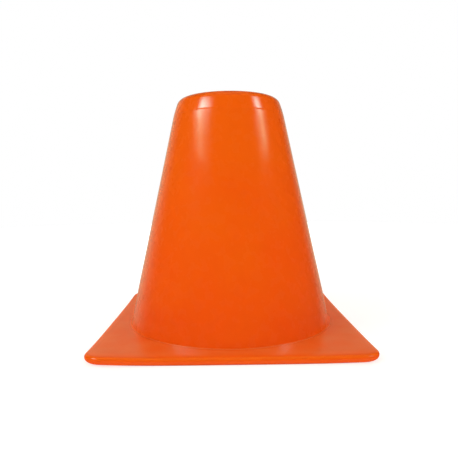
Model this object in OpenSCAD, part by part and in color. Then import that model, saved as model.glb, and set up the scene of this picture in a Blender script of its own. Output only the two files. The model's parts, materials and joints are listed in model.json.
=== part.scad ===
// Small square-based traffic cone in moulded orange vinyl: a tapered body that drops through a
// base plate, and a rounded collar that clips into the body's mouth. Millimetres, +Z up, standing
// on z = 0 with the cone's axis on the Z axis.

/* [Overall] */
// Height from the ground to the crest of the collar
total_h = 150; // [125:1:220]

/* [Base plate] */
// Side of the square base plate
base_w = 158; // [150:1:220]
// Thickness of the base plate
base_t = 4.8; // [4:0.1:8]
// Plan radius of the base plate's corners
base_corner_r = 10; // [5:0.5:25]
// Height of the upright band between the two roundings of the plate's edge
base_edge_flat = 0.4; // [0.2:0.1:2]
// Radius of the fillet that rises from the base plate to the body
root_r = 1.6; // [0.5:0.1:3]
// Width of the flat edge along the top of that fillet
root_land = 0.4; // [0.3:0.1:1]

/* [Cone body] */
// Outside diameter of the body where it comes out of the base plate
foot_d = 132; // [100:1:140]
// Outside diameter of the body at the seam under the collar
neck_d = 72; // [66:1:90]
// Thickness of the body, square to its wall
wall = 2.2; // [1.6:0.1:3]
// How far the foot flange reaches out under the base plate
flange_w = 3.5; // [2:0.5:6]
// Thickness of the foot flange
flange_t = 1.6; // [1:0.1:2.5]
// Height of the land inside the mouth that the collar clips behind
land_h = 6; // [4:0.5:10]

/* [Collar] */
// Height of the collar above the seam
collar_h = 11; // [9:0.5:18]
// Lean of the collar's shoulder, in degrees from upright
shoulder_lean = 16; // [12:1:22]
// Rounding of the collar's lip
lip_r = 5.5; // [4:0.5:7]
// Diameter of the opening in the top
opening_d = 46; // [30:1:50]
// Thickness of the crown round the opening
crown_t = 4; // [3:0.5:6]
// Rounding of the opening's two edges
opening_edge_r = 0.75; // [0.25:0.25:1.25]
// Thickness of the spigot that goes down into the mouth
spigot_wall = 1.8; // [1.2:0.1:3]
// Height of the bead round the spigot's lower end
bead_h = 2.4; // [1.5:0.1:4]
// Height of the bead's upright side, above its sloping lead-in
bead_side_h = 0.8; // [0.4:0.1:1.2]

/* [Fits] */
// Gap all round where one piece sits inside another
fit_gap = 0.3; // [0.1:0.05:0.5]
// Chamfer on each side of the seam between body and collar
seam_chamfer = 0.3; // [0.1:0.05:0.6]

/* [Hidden] */
$fn = 144;
arc_steps = 8;
cut_over = 1;
vinyl = "#f1590f";

seam_z = total_h - collar_h;
neck_r = neck_d / 2;
slope = (foot_d - neck_d) / 2 / (seam_z - base_t);
level_wall = wall / cos(atan(slope));

flange_r = body_r(flange_t) + flange_w;
land_z = seam_z - land_h;
land_r = bore_r(seam_z);

spigot_r = land_r - fit_gap;
throat_r = spigot_r - spigot_wall;
bead_r = bore_r(land_z) - fit_gap;
opening_r = opening_d / 2;
crown_z = total_h - crown_t;

lip_z = total_h - lip_r;
lip_x = neck_r + ((seam_z - lip_z) * sin(shoulder_lean) - lip_r) / cos(shoulder_lean);

base_side = base_w - 2 * base_corner_r;
edge_r = (base_t - base_edge_flat) / 2;
root_z = base_t + root_r;
ring_foot_z = base_t / 2;

// Outside radius of the body's cone at a height
function body_r(z) = foot_d / 2 - slope * (z - base_t);

// Inside radius of the body's cone at a height
function bore_r(z) = body_r(z) - level_wall;

// Radius of the base plate's hole at a height
function hole_r(z) = body_r(z) + fit_gap;

// Points along an arc, from one angle to another
function arc(centre, r, from, to) = [
    for (i = [0:arc_steps])
        let (a = from + (to - from) * i / arc_steps)
            centre + r * [cos(a), sin(a)]
];

// Section of the base plate's rounded edge, base_corner_r wide
module edge_section() {
    polygon(concat(
        [[0, 0]],
        arc([base_corner_r - edge_r, edge_r], edge_r, -90, 0),
        arc([base_corner_r - edge_r, base_t - edge_r], edge_r, 0, 90),
        [[0, base_t]]
    ));
}

// Square plate with round corners and edges
module plate_blank() {
    translate([-base_side / 2, -base_side / 2, 0])
        cube([base_side, base_side, base_t]);
    for (turn = [0:90:270]) {
        rotate(turn)
            translate([base_side / 2, base_side / 2, 0]) {
                rotate_extrude(angle = 90)
                    edge_section();
                rotate([90, 0, 0])
                    linear_extrude(base_side)
                        edge_section();
            }
    }
}

// Ring on top of the plate whose hollow outer side sweeps up to the body
module root_ring() {
    crest_r = hole_r(root_z) + root_land;
    rotate_extrude()
        polygon(concat(
            [[hole_r(root_z) - cut_over, root_z]],
            arc([crest_r + root_r, root_z], root_r, 180, 270),
            [
                [crest_r + root_r, ring_foot_z],
                [hole_r(root_z) - cut_over, ring_foot_z]
            ]
        ));
}

module base_plate() {
    color(vinyl)
        difference() {
            union() {
                plate_blank();
                root_ring();
            }
            translate([0, 0, -cut_over])
                cylinder(
                    r1 = hole_r(-cut_over),
                    r2 = hole_r(root_z + cut_over),
                    h = root_z + 2 * cut_over
                );
            translate([0, 0, -cut_over])
                cylinder(r = flange_r + fit_gap, h = flange_t + cut_over);
        }
}

module cone_body() {
    chamfer_z = seam_z - seam_chamfer;
    color(vinyl)
        rotate_extrude()
            polygon([
                [bore_r(0), 0],
                [flange_r, 0],
                [flange_r, flange_t],
                [body_r(flange_t), flange_t],
                [body_r(chamfer_z), chamfer_z],
                [neck_r - seam_chamfer, seam_z],
                [land_r, seam_z],
                [land_r, land_z],
                [bore_r(land_z), land_z]
            ]);
}

module top_collar() {
    chamfer_z = seam_z + seam_chamfer;
    edge_x = opening_r + opening_edge_r;
    color(vinyl)
        rotate_extrude()
            polygon(concat(
                [
                    [throat_r, land_z - bead_h],
                    [spigot_r, land_z - bead_h],
                    [bead_r, land_z - bead_side_h],
                    [bead_r, land_z],
                    [spigot_r, land_z],
                    [spigot_r, seam_z],
                    [neck_r - seam_chamfer, seam_z],
                    [neck_r - seam_chamfer * tan(shoulder_lean), chamfer_z]
                ],
                arc([lip_x, lip_z], lip_r, shoulder_lean, 90),
                arc([edge_x, total_h - opening_edge_r], opening_edge_r, 90, 180),
                arc([edge_x, crown_z + opening_edge_r], opening_edge_r, 180, 270),
                [[throat_r, crown_z]]
            ));
}

base_plate();
cone_body();
top_collar();
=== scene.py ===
"""Small traffic cone in moulded orange vinyl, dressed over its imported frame.

Three pieces are modelled over the frame's solids: the square base, the tapered body and the collar.
Lengths are in metres, written as millimetres times MM. The camera stands on the -Y side.
"""

import json
import math

import bmesh
import bpy
from mathutils import Matrix, Vector


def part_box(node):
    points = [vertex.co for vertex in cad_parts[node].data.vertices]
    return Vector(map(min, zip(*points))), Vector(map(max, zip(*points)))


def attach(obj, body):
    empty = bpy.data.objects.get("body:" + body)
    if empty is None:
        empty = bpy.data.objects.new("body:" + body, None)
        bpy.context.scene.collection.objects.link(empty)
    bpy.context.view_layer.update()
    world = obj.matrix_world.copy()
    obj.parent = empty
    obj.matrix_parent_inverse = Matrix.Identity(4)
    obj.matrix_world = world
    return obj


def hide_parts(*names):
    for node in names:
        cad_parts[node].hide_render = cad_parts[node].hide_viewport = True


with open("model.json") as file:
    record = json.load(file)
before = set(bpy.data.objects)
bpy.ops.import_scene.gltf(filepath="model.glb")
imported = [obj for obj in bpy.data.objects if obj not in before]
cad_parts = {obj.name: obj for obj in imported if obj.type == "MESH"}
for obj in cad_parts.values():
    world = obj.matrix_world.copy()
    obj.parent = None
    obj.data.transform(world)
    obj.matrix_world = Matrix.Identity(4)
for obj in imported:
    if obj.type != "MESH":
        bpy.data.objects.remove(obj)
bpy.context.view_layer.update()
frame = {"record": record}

MM = 0.001

# Sizes that the frame gives
HALF_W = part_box("base_plate")[1].x
FLANGE_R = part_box("cone_body")[1].x
SEAM_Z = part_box("cone_body")[1].z
SPIGOT_FOOT_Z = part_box("top_collar")[0].z
TOP_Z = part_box("top_collar")[1].z
MOUNTS = {mount["name"]: mount for mount in frame["record"]["mounts"]}
OPENING_R = MOUNTS["top_opening"]["dims"]["r_mm"] * MM

# Base plate. Its top is crowned by a row of insets, each with a width and a rise
BASE_T = 4.8 * MM
CORNER_R = 10 * MM
CROWN = ((2.6 * MM, 0.5 * MM), (1.8 * MM, 0.2 * MM), (1.8 * MM, 0.11 * MM), (1.4 * MM, 0.04 * MM))
SIDE_H = BASE_T - sum(rise for width, rise in CROWN)
UNDER_EDGE = 2.2 * MM
UPPER_EDGE = 1.65 * MM
ROOT_R = 0.25 * MM
ROOT_LAND = 0.01 * MM
ROOT_ROUNDING = 0.95 * ROOT_R
REBATE_GAP = 0.3 * MM
APRON_W = 3 * MM

# How far each corner of the base curls off the ground, by the corner's side along X and Y
CURL = {(-1, -1): 1.2 * MM, (1, -1): 0.75 * MM, (-1, 1): 1.3 * MM, (1, 1): 1.1 * MM}

# Cone body
FOOT_R = 66 * MM
NECK_R = 36 * MM
WALL = 2.2 * MM
FLANGE_T = 1.6 * MM
LAND_H = 6 * MM
CREASE_H = 0.4 * MM
CREASE_DEPTH = 0.11 * MM
SMALL_EDGE = 0.25 * MM

# Collar. Its shoulder bends from one lean to the other
SEAM_LEAN = math.radians(16)
LIP_LEAN = math.radians(20.5)
SHOULDER_BEND_H = 4 * MM
SHOULDER_BEND = 3.2 * MM
LIP_R = 5.5 * MM
CROWN_T = 4 * MM
OPENING_EDGE = 0.75 * MM
SPIGOT_GAP = 0.3 * MM
SPIGOT_WALL = 1.8 * MM
BEAD_SIDE_H = 0.8 * MM

SLOPE = (FOOT_R - NECK_R) / (SEAM_Z - BASE_T)
LEVEL_WALL = WALL / math.cos(math.atan(SLOPE))
LAND_Z = SEAM_Z - LAND_H

# Fineness of the meshes: a quarter turn has as many steps as a quarter of the base's outline
CORNER_STEPS = 12
SIDE_STEPS = 28
AROUND = 4 * (CORNER_STEPS + SIDE_STEPS)
EDGE_STEPS = 8
LIP_STEPS = 12
SHOULDER_STEPS = 6
OPENING_STEPS = 4
CREASE_STEPS = 3
SMALL_STEPS = 2
WALL_RINGS = 24
APRON_RINGS = 6
NEAR = 0.02 * MM
MERGE_DISTANCE = NEAR / 10
UPWARD = 0.9
SHARP_ANGLE = math.radians(50)

# Vinyl: how strongly its depth mirrors, and the sizes and strengths of its patterns
VINYL_IOR = 1.5
DEPTH_SPECULAR = 0.12
NOISE_SPAN = (0.3, 0.7)
CLOUD = 35 * MM
CLOUD_DETAIL = 3
CLOUD_SHIFT = 0.35
PATCH = 6 * MM
PATCH_DETAIL = 4
PATCH_ROUGHNESS = (0.8, 1.3)
WAVE = 22 * MM
WAVE_DEPTH = 0.15 * MM
WAVE_DETAIL = 1
# Heights over which the colour turns from the lower to the upper one; the redder lower colour is painted
# bounce light
DEEP_Z = 15 * MM
PALE_Z = 135 * MM
# Heights over which the body's foot turns paler, a painted light near the base
FOOT_PAINTED_LIGHT_Z = (16 * MM, 5 * MM)

# Orange peel. The real one is finer, and is drawn this coarse so that it shows
PEEL = 2 * MM
PEEL_DEPTH = 0.003 * MM
PEEL_DETAIL = 1

# Marks of the base, some real and some painted light: where each effect starts and where it is full. FACING
# is the normal's upward part
BASE_SPECULAR = 0.42
DRIFT = 14 * MM
DRIFT_DETAIL = 4
# The pale film on the flat, a dusty film and partly a painted sheen: its facing, share and roughness
DUST_AND_SHEEN_FACING = (0.99, 0.9995)
DUST_AND_SHEEN_SHARE = (0.07, 0.22)
DUST_ROUGHNESS = 0.26
# Painted light on the upward-tilted edges of the base, by facing, with its share
EDGE_LIGHT_LOWER_FACING = (0.3, 0.75)
EDGE_LIGHT_UPPER_FACING = (0.998, 0.95)
EDGE_LIGHT_SHARE = 0.65
# Painted shade close to the ground, by height, with its share
CONTACT_SHADE_Z = (1.4 * MM, 0.3 * MM)
CONTACT_SHADE_SHARE = 0.55
ROOT_DULL_R = (FOOT_R + 1.2 * MM, FOOT_R + 0.3 * MM)
ROOT_ROUGHNESS = 0.4

# Floor and tent, with lengths in metres and angles in degrees. TENT_GLOW goes by azimuth
FLOOR_R = 1.0
FLOOR_STEPS = 96
FLOOR_FADE = (0.1, 0.5)
FLOOR_GLOW = (0.66, 1.0)
FLOOR_ROUGHNESS = 0.9
TENT_DISTANCE = 1.5
TENT_SIDE = 1.25
TENT_ELEVATION = 30
TENT_GLOW = {0: 1.27, 45: 1.01, 90: 1.35, 135: 0.94, 180: 0.43, 225: 0.9, 270: 1.5, 315: 0.77}
TENT_TOP_ELEVATION = 89
TENT_TOP_GLOW = 0.46

# Softboxes, with their azimuths and elevations as softbox() takes them
SOFTBOX_DISTANCE = 1.1
SKIRT_FADE_POWER = 3
SOFTBOXES = {
    "left_softbox": {
        "skirt_azimuths": (-90, -60.5, -16),
        "cloth_azimuths": (-75.5, -62.5, -36.5),
        "elevations": (26.2, 27.9, 29.8, 35.5, 39, 52.5),
        "slant": 1.7,
        "skirt_share": 0.23,
        "brightness": 16.4,
    },
    "right_softbox": {
        "skirt_azimuths": (41, 70.5, 96),
        "cloth_azimuths": (58, 69.2, 81),
        "elevations": (23.6, 28.1, 30.2, 33.2, 39, 53),
        "slant": 0.0,
        "skirt_share": 0.44,
        "brightness": 11.6,
    },
}

# Half the height over which the skirt's slow sides turn into the cloth's crisp ones
CRISP_RISE = math.radians(1) * SOFTBOX_DISTANCE

# Surround that the shiny skin mirrors. A SPAN is of a direction's height, or of its likeness to an aim
BACK_AIM = (-0.13, 0.97, -0.16)
BACK_SPAN = (0.42, 0.85)
BACK_LIGHT = (0.03, 0.6)
ABOVE_SPAN = (0.78, 1.0)
ABOVE_LIGHT = (0.0, 0.3)
LOW_SPAN = (-0.08, -0.22)
LOW_LIGHT = (0.0, 0.36)
FRONT_SPAN = (0.75, 0.42)
PALE_SPAN = (-0.24, -0.1)
WHOLE = (0.0, 1.0)

# Flags behind the cone: the aim of each, with the least share of the light that it leaves
FLAGS = {(0.23, 0.945, 0.235): 0.4, (-0.185, 0.957, 0.222): 0.52}
FLAG_SPAN = (0.9936, 0.9994)

# Camera, with its lens and sensor in millimetres
CAMERA_PLACE = Vector((-3.995, -315.314, 90.895)) * MM
CAMERA_HEADING = math.radians(0.658)
CAMERA_PITCH = math.radians(4.745)
CAMERA_ROLL = math.radians(-0.494)
CAMERA_LENS = 36.943
CAMERA_SENSOR = 36

# Sockets of a Mix node, by number because its names repeat for each type of data
SHARE = 0
FIRST_NUMBER = 2
SECOND_NUMBER = 3
FIRST_COLOUR = 6
SECOND_COLOUR = 7
MIXED_NUMBER = 0
MIXED_COLOUR = 2


def body_r(z):
    """Outside radius of the body's cone at a height."""
    return FOOT_R - SLOPE * (z - BASE_T)


def bore_r(z):
    """Inside radius of the body's cone at a height."""
    return body_r(z) - LEVEL_WALL


def lathe(bm, section, closed=True, fine=()):
    """Spins a section of (radius, height) points about the cone's axis.

    The edges that start at the fine points are cut into rings first.
    """
    verts = [bm.verts.new((r, 0, z)) for r, z in section]
    ends = verts[1:] + verts[:1] if closed else verts[1:]
    edges = [bm.edges.new(pair) for pair in zip(verts, ends)]
    long_edges = [edges[section.index(point)] for point in fine]
    bmesh.ops.subdivide_edges(bm, edges=long_edges, cuts=WALL_RINGS)
    profile = [part for part in (*bm.verts, *bm.edges) if not part.link_faces]
    bmesh.ops.spin(
        bm, geom=profile, cent=(0, 0, 0), axis=(0, 0, 1), angle=math.tau, steps=AROUND, use_merge=True
    )
    bmesh.ops.remove_doubles(bm, verts=bm.verts, dist=MERGE_DISTANCE)
    bmesh.ops.recalc_face_normals(bm, faces=bm.faces)


def ring(bm, r, z):
    """Edges of the circle with that radius and height."""
    on_it = {v for v in bm.verts if abs(v.co.z - z) < NEAR and abs(v.co.xy.length - r) < NEAR}
    return [edge for edge in bm.edges if on_it.issuperset(edge.verts)]


def level_edges(bm, z):
    """Edges that lie at a height."""
    return [edge for edge in bm.edges if all(abs(vert.co.z - z) < NEAR for vert in edge.verts)]


def round_edges(bm, edges, offset, steps):
    """Rounds edges by a width on each side."""
    bmesh.ops.bevel(
        bm,
        geom=edges,
        offset=offset,
        offset_type="OFFSET",
        affect="EDGES",
        segments=steps,
        profile=0.5,
        material=-1,
    )


def piece_from(bm, name, node, material):
    """Makes a mesh a piece that stands for a node of the frame."""
    bmesh.ops.remove_doubles(bm, verts=bm.verts, dist=MERGE_DISTANCE)
    bmesh.ops.recalc_face_normals(bm, faces=bm.faces)
    mesh = bpy.data.meshes.new(name)
    bm.to_mesh(mesh)
    bm.free()
    mesh.shade_smooth()
    mesh.set_sharp_from_angle(angle=SHARP_ANGLE)
    mesh.materials.append(material)
    piece = bpy.data.objects.new(name, mesh)
    bpy.context.scene.collection.objects.link(piece)
    shading = piece.modifiers.new("even_shading", "WEIGHTED_NORMAL")
    shading.keep_sharp = True
    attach(piece, "root")
    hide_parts(node)


def moulded_body(material):
    """The tapered shell with its foot flange and the land inside its mouth."""
    bm = bmesh.new()
    land_r = bore_r(SEAM_Z)
    flange = [(bore_r(0), 0), (FLANGE_R, 0), (FLANGE_R, FLANGE_T)]
    wall_foot = (body_r(FLANGE_T), FLANGE_T)
    wall_top = (body_r(SEAM_Z - CREASE_H), SEAM_Z - CREASE_H)
    crease = (NECK_R - CREASE_DEPTH, SEAM_Z)
    land = [(land_r, SEAM_Z), (land_r, LAND_Z)]
    bore_top = (bore_r(LAND_Z), LAND_Z)
    lathe(bm, [*flange, wall_foot, wall_top, crease, *land, bore_top], fine=(wall_foot, bore_top))
    round_edges(bm, ring(bm, *wall_top), CREASE_H / 2, CREASE_STEPS)
    for corner in flange + land:
        round_edges(bm, ring(bm, *corner), SMALL_EDGE, SMALL_STEPS)
    piece_from(bm, "tapered_body", "cone_body", material)


def moulded_collar(material):
    """The rim with its rounded lip, the opening, and the spigot and bead that clip it into the body."""
    bm = bmesh.new()
    spigot_r = bore_r(SEAM_Z) - SPIGOT_GAP
    throat_r = spigot_r - SPIGOT_WALL
    bead_r = bore_r(LAND_Z) - SPIGOT_GAP
    bead = [
        (throat_r, SPIGOT_FOOT_Z),
        (spigot_r, SPIGOT_FOOT_Z),
        (bead_r, LAND_Z - BEAD_SIDE_H),
        (bead_r, LAND_Z),
    ]
    spigot = [(spigot_r, LAND_Z), (spigot_r, SEAM_Z)]
    crease = (NECK_R - CREASE_DEPTH, SEAM_Z)
    shoulder_foot = (NECK_R - CREASE_H * math.tan(SEAM_LEAN), SEAM_Z + CREASE_H)
    bend_r = NECK_R - SHOULDER_BEND_H * math.tan(SEAM_LEAN)
    bend_z = SEAM_Z + SHOULDER_BEND_H
    lip_corner = (bend_r - (TOP_Z - bend_z) * math.tan(LIP_LEAN), TOP_Z)
    lip_width = LIP_R * math.tan((math.pi / 2 - LIP_LEAN) / 2)
    crown_z = TOP_Z - CROWN_T
    opening = [(OPENING_R, TOP_Z), (OPENING_R, crown_z)]
    rim = [shoulder_foot, (bend_r, bend_z), lip_corner]
    lathe(bm, [*bead, *spigot, crease, *rim, *opening, (throat_r, crown_z)])
    round_edges(bm, ring(bm, bend_r, bend_z), SHOULDER_BEND, SHOULDER_STEPS)
    round_edges(bm, ring(bm, *lip_corner), lip_width, LIP_STEPS)
    round_edges(bm, ring(bm, *shoulder_foot), CREASE_H / 2, CREASE_STEPS)
    for corner in opening:
        round_edges(bm, ring(bm, *corner), OPENING_EDGE, OPENING_STEPS)
    for corner in bead:
        round_edges(bm, ring(bm, *corner), SMALL_EDGE, SMALL_STEPS)
    piece_from(bm, "lip_collar", "top_collar", material)


def rounded_plate(bm):
    """The square plate with round corners, a crowned top and round edges, open above and below."""
    bmesh.ops.create_cube(bm, size=1)
    bmesh.ops.translate(bm, verts=bm.verts, vec=(0, 0, 1 / 2))
    bmesh.ops.scale(bm, verts=bm.verts, vec=(2 * HALF_W, 2 * HALF_W, SIDE_H))
    upright = [edge for edge in bm.edges if abs(edge.verts[0].co.z - edge.verts[1].co.z) > NEAR]
    round_edges(bm, upright, CORNER_R, CORNER_STEPS)
    top = [face for face in bm.faces if face.normal.z > UPWARD]
    for width, rise in CROWN:
        bmesh.ops.inset_region(
            bm, faces=top, thickness=width, depth=rise, use_boundary=True, use_even_offset=True
        )
    round_edges(bm, level_edges(bm, 0), UNDER_EDGE, EDGE_STEPS)
    round_edges(bm, level_edges(bm, SIDE_H), UPPER_EDGE, EDGE_STEPS)
    straight = [edge for edge in bm.edges if edge.calc_length() > HALF_W]
    bmesh.ops.subdivide_edges(bm, edges=straight, cuts=SIDE_STEPS - 1, use_grid_fill=True)
    caps = [face for face in bm.faces if len(face.verts) > 4]
    bmesh.ops.delete(bm, geom=caps, context="FACES_ONLY")


def lift_corners(bm):
    """Curls the soft plate's corners a little off the ground, each by its own height."""
    corner_reach = (HALF_W - CORNER_R) * math.sqrt(2) + CORNER_R
    for vert in bm.verts:
        share = (vert.co.xy.length - HALF_W) / (corner_reach - HALF_W)
        if share > 0:
            corner = (math.copysign(1, vert.co.x), math.copysign(1, vert.co.y))
            vert.co.z += CURL[corner] * share**2


def moulded_base(material):
    """The square plate, the small root round the body's foot, and the rebate for the body's flange."""
    bm = bmesh.new()
    rounded_plate(bm)
    crest_z = BASE_T + ROOT_R
    root_foot_r = body_r(BASE_T) + ROOT_LAND
    rebate_r = FLANGE_R + REBATE_GAP
    hub = [
        (root_foot_r + APRON_W, BASE_T),
        (root_foot_r, BASE_T),
        (body_r(crest_z) + ROOT_LAND, crest_z),
        (body_r(crest_z), crest_z),
        (body_r(FLANGE_T), FLANGE_T),
        (rebate_r, FLANGE_T),
        (rebate_r, 0),
        (rebate_r + APRON_W, 0),
    ]
    lathe(bm, hub, closed=False)
    round_edges(bm, ring(bm, root_foot_r, BASE_T), ROOT_ROUNDING, EDGE_STEPS)
    for z in (BASE_T, 0):
        rims = [edge for edge in level_edges(bm, z) if edge.is_boundary]
        bridge = bmesh.ops.bridge_loops(bm, edges=rims)
        bmesh.ops.subdivide_edges(bm, edges=bridge["edges"], cuts=APRON_RINGS, use_grid_fill=True)
    lift_corners(bm)
    piece_from(bm, "square_base", "base_plate", material)


def linear(hex_colour):
    """Linear RGBA of an sRGB hex colour, by the standard's own curve."""
    shares = [int(hex_colour[i:i + 2], 16) / 255 for i in (1, 3, 5)]
    return [s / 12.92 if s <= 0.04045 else ((s + 0.055) / 1.055) ** 2.4 for s in shares] + [1]


def add_node(tree, kind, inputs, **settings):
    """Adds a node with its settings. Each input is a value, or the output that feeds it."""
    made = tree.nodes.new(kind)
    for name, value in settings.items():
        setattr(made, name, value)
    for socket, value in inputs.items():
        if isinstance(value, bpy.types.NodeSocket):
            tree.links.new(value, made.inputs[socket])
        else:
            made.inputs[socket].default_value = value
    return made


def moulded_vinyl(name, upper, lower, roughness, skin_roughness):
    """Soft PVC, coloured right through and moulded in a polished tool.

    To the eye it is a deep even orange under a thin glossy skin. The depth is hazier than the skin, in
    patches. Pigment clouds shift its colour. With height it turns from the lower colour to the upper one,
    and the redder lower colour is painted reddish bounce light. The wall shrank in slow waves as it cooled,
    which bend the highlights, and it has a fine orange peel.
    """
    material = bpy.data.materials.new(name)
    material.use_nodes = True
    tree = material.node_tree
    shader = tree.nodes["Principled BSDF"]
    shader.inputs["IOR"].default_value = VINYL_IOR
    shader.inputs["Specular IOR Level"].default_value = DEPTH_SPECULAR
    shader.inputs["Coat Weight"].default_value = 1.0
    shader.inputs["Coat IOR"].default_value = VINYL_IOR
    shader.inputs["Coat Roughness"].default_value = skin_roughness
    place = add_node(tree, "ShaderNodeTexCoord", {}).outputs["Object"]
    axes = add_node(tree, "ShaderNodeSeparateXYZ", {"Vector": place})

    clouds = add_node(
        tree,
        "ShaderNodeTexNoise",
        {"Vector": place, "Scale": 1 / CLOUD, "Detail": CLOUD_DETAIL},
    )
    cloudy = add_node(
        tree,
        "ShaderNodeMapRange",
        {
            "Value": clouds.outputs["Fac"],
            "From Min": NOISE_SPAN[0],
            "From Max": NOISE_SPAN[1],
            "To Min": -CLOUD_SHIFT,
            "To Max": CLOUD_SHIFT,
        },
    )
    # Painted light: towards the foot the colour turns to the redder lower one, for reddish bounce light
    height = add_node(
        tree,
        "ShaderNodeMapRange",
        {"Value": axes.outputs["Z"], "From Min": DEEP_Z, "From Max": PALE_Z},
    )
    pale = add_node(
        tree,
        "ShaderNodeMath",
        {0: height.outputs["Result"], 1: cloudy.outputs["Result"]},
        operation="ADD",
        use_clamp=True,
    )
    tint = add_node(
        tree,
        "ShaderNodeMix",
        {SHARE: pale.outputs[0], FIRST_COLOUR: linear(lower), SECOND_COLOUR: linear(upper)},
        data_type="RGBA",
    )

    patches = add_node(
        tree,
        "ShaderNodeTexNoise",
        {"Vector": place, "Scale": 1 / PATCH, "Detail": PATCH_DETAIL},
    )
    satin = add_node(
        tree,
        "ShaderNodeMapRange",
        {
            "Value": patches.outputs["Fac"],
            "From Min": NOISE_SPAN[0],
            "From Max": NOISE_SPAN[1],
            "To Min": roughness * PATCH_ROUGHNESS[0],
            "To Max": roughness * PATCH_ROUGHNESS[1],
        },
    )

    waves = add_node(
        tree,
        "ShaderNodeTexNoise",
        {"Vector": place, "Scale": 1 / WAVE, "Detail": WAVE_DETAIL},
    )
    wavy = add_node(tree, "ShaderNodeBump", {"Height": waves.outputs["Fac"], "Distance": WAVE_DEPTH})
    peel = add_node(
        tree,
        "ShaderNodeTexNoise",
        {"Vector": place, "Scale": 1 / PEEL, "Detail": PEEL_DETAIL},
    )
    peeled = add_node(
        tree,
        "ShaderNodeBump",
        {"Height": peel.outputs["Fac"], "Distance": PEEL_DEPTH, "Normal": wavy.outputs["Normal"]},
    )

    tree.links.new(tint.outputs[MIXED_COLOUR], shader.inputs["Base Color"])
    tree.links.new(satin.outputs["Result"], shader.inputs["Roughness"])
    tree.links.new(peeled.outputs["Normal"], shader.inputs["Normal"])
    tree.links.new(wavy.outputs["Normal"], shader.inputs["Coat Normal"])
    return material


def handled_vinyl():
    """The body's vinyl, with painted light at the foot: a paler orange there stands for light from the base
    that comes back through the wall.
    """
    material = moulded_vinyl(
        "moulded soft PVC, satin",
        upper="#f55e09",
        lower="#f7550b",
        roughness=0.25,
        skin_roughness=0.095,
    )
    tree = material.node_tree
    shader = tree.nodes["Principled BSDF"]
    tint = shader.inputs["Base Color"].links[0].from_socket
    place = add_node(tree, "ShaderNodeTexCoord", {})
    axes = add_node(tree, "ShaderNodeSeparateXYZ", {"Vector": place.outputs["Object"]})
    foot = add_node(
        tree,
        "ShaderNodeMapRange",
        {"Value": axes.outputs["Z"], "From Min": FOOT_PAINTED_LIGHT_Z[0], "From Max": FOOT_PAINTED_LIGHT_Z[1]},
    )
    # Painted light: the foot is mixed towards a paler orange
    glowing = add_node(
        tree,
        "ShaderNodeMix",
        {SHARE: foot.outputs["Result"], FIRST_COLOUR: tint, SECOND_COLOUR: linear("#ff5d0d")},
        data_type="RGBA",
    )
    tree.links.new(glowing.outputs[MIXED_COLOUR], shader.inputs["Base Color"])
    return material


def glossy_vinyl():
    """The collar's vinyl, with a slightly glossier skin from a brighter polished tool."""
    return moulded_vinyl(
        "moulded soft PVC, gloss",
        upper="#f85f09",
        lower="#f65b09",
        roughness=0.25,
        skin_roughness=0.085,
    )


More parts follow.
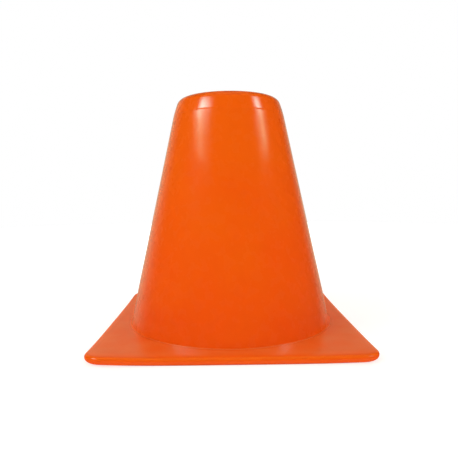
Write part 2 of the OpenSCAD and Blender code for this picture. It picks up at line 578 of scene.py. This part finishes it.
def trodden_vinyl():
    """The base's vinyl, whose glossy skin has worn off.

    To the eye it is satin, with a thin dusty film on the flat that is partly a painted sheen, painted light
    on the upward-tilted edges, a dull line round the body's foot where the dusty grit gathers, and painted
    shade close to the ground.
    """
    material = moulded_vinyl(
        "moulded soft PVC, dusty satin",
        upper="#f65c0c",
        lower="#f6580c",
        roughness=0.2,
        skin_roughness=0.12,
    )
    tree = material.node_tree
    shader = tree.nodes["Principled BSDF"]
    shader.inputs["Specular IOR Level"].default_value = BASE_SPECULAR
    shader.inputs["Coat Weight"].default_value = 0.0
    tint = shader.inputs["Base Color"].links[0].from_socket
    satin = shader.inputs["Roughness"].links[0].from_socket
    place = add_node(tree, "ShaderNodeTexCoord", {}).outputs["Object"]
    height = add_node(tree, "ShaderNodeSeparateXYZ", {"Vector": place}).outputs["Z"]
    normal = add_node(tree, "ShaderNodeNewGeometry", {}).outputs["Normal"]
    facing = add_node(tree, "ShaderNodeSeparateXYZ", {"Vector": normal}).outputs["Z"]
    level_place = add_node(tree, "ShaderNodeVectorMath", {0: place, 1: (1, 1, 0)}, operation="MULTIPLY")
    out = add_node(tree, "ShaderNodeVectorMath", {0: level_place.outputs[0]}, operation="LENGTH")

    drifts = add_node(
        tree,
        "ShaderNodeTexNoise",
        {"Vector": place, "Scale": 1 / DRIFT, "Detail": DRIFT_DETAIL},
    )
    spans = {
        "flat_top": (facing, DUST_AND_SHEEN_FACING, WHOLE),
        "film": (drifts.outputs["Fac"], NOISE_SPAN, DUST_AND_SHEEN_SHARE),
        "leaning": (facing, EDGE_LIGHT_LOWER_FACING, WHOLE),
        "tilted": (facing, EDGE_LIGHT_UPPER_FACING, (0.0, EDGE_LIGHT_SHARE)),
        # Painted shade close to the ground
        "low": (height, CONTACT_SHADE_Z, (0.0, CONTACT_SHADE_SHARE)),
        "gathered": (out.outputs["Value"], ROOT_DULL_R, WHOLE),
    }
    shares = {}
    for effect, (along, span, levels) in spans.items():
        ends = {"From Min": span[0], "From Max": span[1], "To Min": levels[0], "To Max": levels[1]}
        shares[effect] = add_node(tree, "ShaderNodeMapRange", {"Value": along, **ends}).outputs["Result"]
    # Pale film on the flat: a dusty film, partly a painted sheen
    dust_and_sheen = add_node(
        tree,
        "ShaderNodeMath",
        {0: shares["flat_top"], 1: shares["film"]},
        operation="MULTIPLY",
    )
    # Painted light on the upward-tilted edges
    edge_painted_light = add_node(
        tree,
        "ShaderNodeMath",
        {0: shares["leaning"], 1: shares["tilted"]},
        operation="MULTIPLY",
    )

    colour = tint
    for share, film in (
        # Dusty film on the flat, partly a painted sheen
        (dust_and_sheen.outputs[0], "#f0a060"),
        # Painted light on the upward-tilted edges
        (edge_painted_light.outputs[0], "#ff6a12"),
        # Painted shade close to the ground
        (shares["low"], "#7c2a0a"),
    ):
        colour = add_node(
            tree,
            "ShaderNodeMix",
            {SHARE: share, FIRST_COLOUR: colour, SECOND_COLOUR: linear(film)},
            data_type="RGBA",
        ).outputs[MIXED_COLOUR]
    roughness = satin
    for share, dull in ((shares["flat_top"], DUST_ROUGHNESS), (shares["gathered"], ROOT_ROUGHNESS)):
        roughness = add_node(
            tree,
            "ShaderNodeMix",
            {SHARE: share, FIRST_NUMBER: roughness, SECOND_NUMBER: dull},
            data_type="FLOAT",
        ).outputs[MIXED_NUMBER]
    tree.links.new(colour, shader.inputs["Base Color"])
    tree.links.new(roughness, shader.inputs["Roughness"])
    return material


def hang(lamp, azimuth, elevation, distance):
    """Places a lamp by its direction from the cone and turns its face to the cone."""
    bpy.context.scene.collection.objects.link(lamp)
    turn = math.radians(azimuth)
    rise = math.radians(elevation)
    towards = Vector((math.sin(turn) * math.cos(rise), -math.cos(turn) * math.cos(rise), math.sin(rise)))
    lamp.location = Vector((0, 0, TOP_Z / 2)) + distance * towards
    lamp.rotation_euler = towards.to_track_quat("Z", "Y").to_euler()
    lamp.visible_camera = False


def tent_panel(name, azimuth, elevation, brightness):
    """Even, slightly warm light for the colour alone: a panel that no shiny surface mirrors."""
    data = bpy.data.lights.new(name, "AREA")
    data.size = TENT_SIDE
    data.color = linear("#ffecec")[:3]
    data.energy = math.pi * TENT_SIDE**2 * brightness
    data.cycles.use_multiple_importance_sampling = False
    panel = bpy.data.objects.new(name, data)
    hang(panel, azimuth, elevation, TENT_DISTANCE)
    panel.visible_glossy = False


def softbox(name, skirt_azimuths, cloth_azimuths, elevations, slant, skirt_share, brightness):
    """A glowing cloth with fairly crisp sides, over a dimmer skirt that fades slowly and may slant.

    Azimuths run from a dark edge over the brightest line to the other dark edge. Elevations are the dark
    foot, the start and the end of the skirt's full light, the start and the end of the cloth's, and the
    dark top. The light is low in red, because the vinyl under a highlight is nearly full red already.
    """
    middle = (skirt_azimuths[0] + skirt_azimuths[-1]) / 2
    rise = (elevations[0] + elevations[-1]) / 2
    level = SOFTBOX_DISTANCE * math.cos(math.radians(rise))
    foot, skirt, skirt_top, cloth_low, cloth_high, top = (
        math.radians(elevation - rise) * SOFTBOX_DISTANCE for elevation in elevations
    )
    skirt_left, skirt_line, skirt_right = (
        math.radians(azimuth - middle) * level + slant * skirt_top for azimuth in skirt_azimuths
    )
    cloth_left, cloth_line, cloth_right = (
        math.radians(azimuth - middle) * level for azimuth in cloth_azimuths
    )

    cloth = bpy.data.materials.new(f"glowing cloth, {name}")
    cloth.use_nodes = True
    tree = cloth.node_tree
    place = add_node(tree, "ShaderNodeTexCoord", {})
    axes = add_node(tree, "ShaderNodeSeparateXYZ", {"Vector": place.outputs["Object"]})
    across = axes.outputs["X"]
    height = axes.outputs["Y"]
    slanted = add_node(
        tree,
        "ShaderNodeMath",
        {0: height, 1: slant, 2: across},
        operation="MULTIPLY_ADD",
    ).outputs[0]

    fades = {
        "skirt_left": (slanted, skirt_left, skirt_line, "LINEAR"),
        "skirt_right": (slanted, skirt_right, skirt_line, "LINEAR"),
        "cloth_left": (across, cloth_left, cloth_line, "LINEAR"),
        "cloth_right": (across, cloth_right, cloth_line, "LINEAR"),
        "lifted": (height, skirt_top, cloth_low, "SMOOTHSTEP"),
        "crisp": (height, cloth_low - CRISP_RISE, cloth_low + CRISP_RISE, "SMOOTHSTEP"),
        "foot": (height, foot, skirt, "SMOOTHSTEP"),
        "top": (height, top, cloth_high, "SMOOTHSTEP"),
    }
    shares = {}
    for part, (along, dark, bright, kind) in fades.items():
        ends = {"Value": along, "From Min": dark, "From Max": bright}
        shares[part] = add_node(tree, "ShaderNodeMapRange", ends, interpolation_type=kind).outputs["Result"]
    skirt_level = add_node(
        tree,
        "ShaderNodeMix",
        {SHARE: shares["lifted"], FIRST_NUMBER: skirt_share, SECOND_NUMBER: 1.0},
        data_type="FLOAT",
    )
    skirt_glow = shares["skirt_left"]
    for operation, factor in (
        ("MULTIPLY", shares["skirt_right"]),
        ("POWER", SKIRT_FADE_POWER),
        ("MULTIPLY", skirt_level.outputs[MIXED_NUMBER]),
    ):
        skirt_glow = add_node(
            tree,
            "ShaderNodeMath",
            {0: skirt_glow, 1: factor},
            operation=operation,
        ).outputs[0]
    cloth_glow = add_node(
        tree,
        "ShaderNodeMath",
        {0: shares["cloth_left"], 1: shares["cloth_right"]},
        operation="MULTIPLY",
    )
    glow = add_node(
        tree,
        "ShaderNodeMix",
        {SHARE: shares["crisp"], FIRST_NUMBER: skirt_glow, SECOND_NUMBER: cloth_glow.outputs[0]},
        data_type="FLOAT",
    ).outputs[MIXED_NUMBER]
    for factor in (shares["foot"], shares["top"], brightness):
        glow = add_node(tree, "ShaderNodeMath", {0: glow, 1: factor}, operation="MULTIPLY").outputs[0]
    tone = add_node(
        tree,
        "ShaderNodeMix",
        {SHARE: shares["lifted"], FIRST_COLOUR: linear("#b4f0c0"), SECOND_COLOUR: linear("#c4faf3")},
        data_type="RGBA",
    )
    light = add_node(tree, "ShaderNodeEmission", {"Color": tone.outputs[MIXED_COLOUR], "Strength": glow})
    tree.links.new(light.outputs["Emission"], tree.nodes["Material Output"].inputs["Surface"])

    bm = bmesh.new()
    bmesh.ops.create_grid(bm, x_segments=1, y_segments=1, size=1)
    half_width = math.radians(skirt_azimuths[-1] - middle) * level
    bmesh.ops.scale(bm, verts=bm.verts, vec=(half_width, top, 1))
    mesh = bpy.data.meshes.new(name)
    bm.to_mesh(mesh)
    bm.free()
    mesh.materials.append(cloth)
    box = bpy.data.objects.new(name, mesh)
    hang(box, middle, rise, SOFTBOX_DISTANCE)


def paper_floor():
    """A sheet of white paper, lit through from below, brighter outwards so that no far edge shows."""
    bm = bmesh.new()
    bmesh.ops.create_circle(bm, cap_ends=True, segments=FLOOR_STEPS, radius=FLOOR_R)
    mesh = bpy.data.meshes.new("floor")
    bm.to_mesh(mesh)
    bm.free()
    floor = bpy.data.objects.new("floor", mesh)
    bpy.context.scene.collection.objects.link(floor)
    floor.visible_glossy = False

    paper = bpy.data.materials.new("matt white paper")
    paper.use_nodes = True
    tree = paper.node_tree
    place = add_node(tree, "ShaderNodeTexCoord", {})
    away = add_node(tree, "ShaderNodeVectorMath", {0: place.outputs["Object"]}, operation="LENGTH")
    glow = add_node(
        tree,
        "ShaderNodeMapRange",
        {
            "Value": away.outputs["Value"],
            "From Min": FLOOR_FADE[0],
            "From Max": FLOOR_FADE[1],
            "To Min": FLOOR_GLOW[0],
            "To Max": FLOOR_GLOW[1],
        },
        interpolation_type="SMOOTHSTEP",
    )
    shader = tree.nodes["Principled BSDF"]
    shader.inputs["Base Color"].default_value = linear("#bcbcba")
    shader.inputs["Roughness"].default_value = FLOOR_ROUGHNESS
    shader.inputs["Emission Color"].default_value = linear("#ffffff")
    tree.links.new(glow.outputs["Result"], shader.inputs["Emission Strength"])
    mesh.materials.append(paper)


def surround():
    """White to the camera. What the skin mirrors is warm, dim in front and brighter behind.

    Two flags dim it behind, and some light comes from above. Low down its tone is orange, and the front
    and the sides are lit there too.
    """
    world = bpy.data.worlds.new("studio")
    bpy.context.scene.world = world
    world.use_nodes = True
    tree = world.node_tree
    to_camera = add_node(tree, "ShaderNodeLightPath", {}).outputs["Is Camera Ray"]
    direction = add_node(tree, "ShaderNodeTexCoord", {}).outputs["Generated"]
    height = add_node(tree, "ShaderNodeSeparateXYZ", {"Vector": direction}).outputs["Z"]
    likeness = {}
    for aim in (BACK_AIM, *FLAGS):
        product = add_node(tree, "ShaderNodeVectorMath", {0: direction, 1: aim}, operation="DOT_PRODUCT")
        likeness[aim] = product.outputs["Value"]

    spans = {
        "back": (likeness[BACK_AIM], BACK_SPAN, BACK_LIGHT),
        "above": (height, ABOVE_SPAN, ABOVE_LIGHT),
        "low": (height, LOW_SPAN, LOW_LIGHT),
        "front": (likeness[BACK_AIM], FRONT_SPAN, WHOLE),
        "pale": (height, PALE_SPAN, WHOLE),
    }
    for flag, least in FLAGS.items():
        spans[flag] = (likeness[flag], FLAG_SPAN, (1.0, least))
    lights = {}
    for part, (along, span, levels) in spans.items():
        ends = {"From Min": span[0], "From Max": span[1], "To Min": levels[0], "To Max": levels[1]}
        lights[part] = add_node(tree, "ShaderNodeMapRange", {"Value": along, **ends}).outputs["Result"]
    low_front = add_node(
        tree,
        "ShaderNodeMath",
        {0: lights["low"], 1: lights["front"]},
        operation="MULTIPLY",
    )
    mirrored = lights["back"]
    for operation, light in (
        ("ADD", lights["above"]),
        *(("MULTIPLY", lights[flag]) for flag in FLAGS),
        ("ADD", low_front.outputs[0]),
    ):
        mirrored = add_node(tree, "ShaderNodeMath", {0: mirrored, 1: light}, operation=operation).outputs[0]
    strength = add_node(
        tree,
        "ShaderNodeMix",
        {SHARE: to_camera, FIRST_NUMBER: mirrored, SECOND_NUMBER: 1.0},
        data_type="FLOAT",
    )
    tone = linear("#ff8965")
    for share, other_tone in ((lights["pale"], "#ffe0b8"), (to_camera, "#ffffff")):
        tone = add_node(
            tree,
            "ShaderNodeMix",
            {SHARE: share, FIRST_COLOUR: tone, SECOND_COLOUR: linear(other_tone)},
            data_type="RGBA",
        ).outputs[MIXED_COLOUR]
    background = tree.nodes["Background"]
    tree.links.new(tone, background.inputs["Color"])
    tree.links.new(strength.outputs[MIXED_NUMBER], background.inputs["Strength"])


def studio():
    """Plain soft light: the surround, a tent of panels round and over the cone, and two softboxes."""
    surround()
    for azimuth, brightness in TENT_GLOW.items():
        tent_panel(f"tent_{azimuth}", azimuth, TENT_ELEVATION, brightness)
    tent_panel("tent_top", 0, TENT_TOP_ELEVATION, TENT_TOP_GLOW)
    for name, shape in SOFTBOXES.items():
        softbox(name, **shape)


def photo_camera():
    """The photograph's viewpoint, found by fitting the cone's outline."""
    data = bpy.data.cameras.new("photo_camera")
    data.sensor_width = CAMERA_SENSOR
    data.lens = CAMERA_LENS
    camera = bpy.data.objects.new("photo_camera", data)
    bpy.context.scene.collection.objects.link(camera)
    turn = Matrix.Rotation(-CAMERA_HEADING, 4, "Z") @ Matrix.Rotation(math.pi / 2 - CAMERA_PITCH, 4, "X")
    turn = turn @ Matrix.Rotation(CAMERA_ROLL, 4, "Z")
    camera.matrix_world = Matrix.Translation(CAMERA_PLACE) @ turn
    bpy.context.scene.camera = camera


moulded_base(trodden_vinyl())
moulded_body(handled_vinyl())
moulded_collar(glossy_vinyl())
paper_floor()
studio()
photo_camera()
bpy.context.scene.view_settings.view_transform = "Standard"
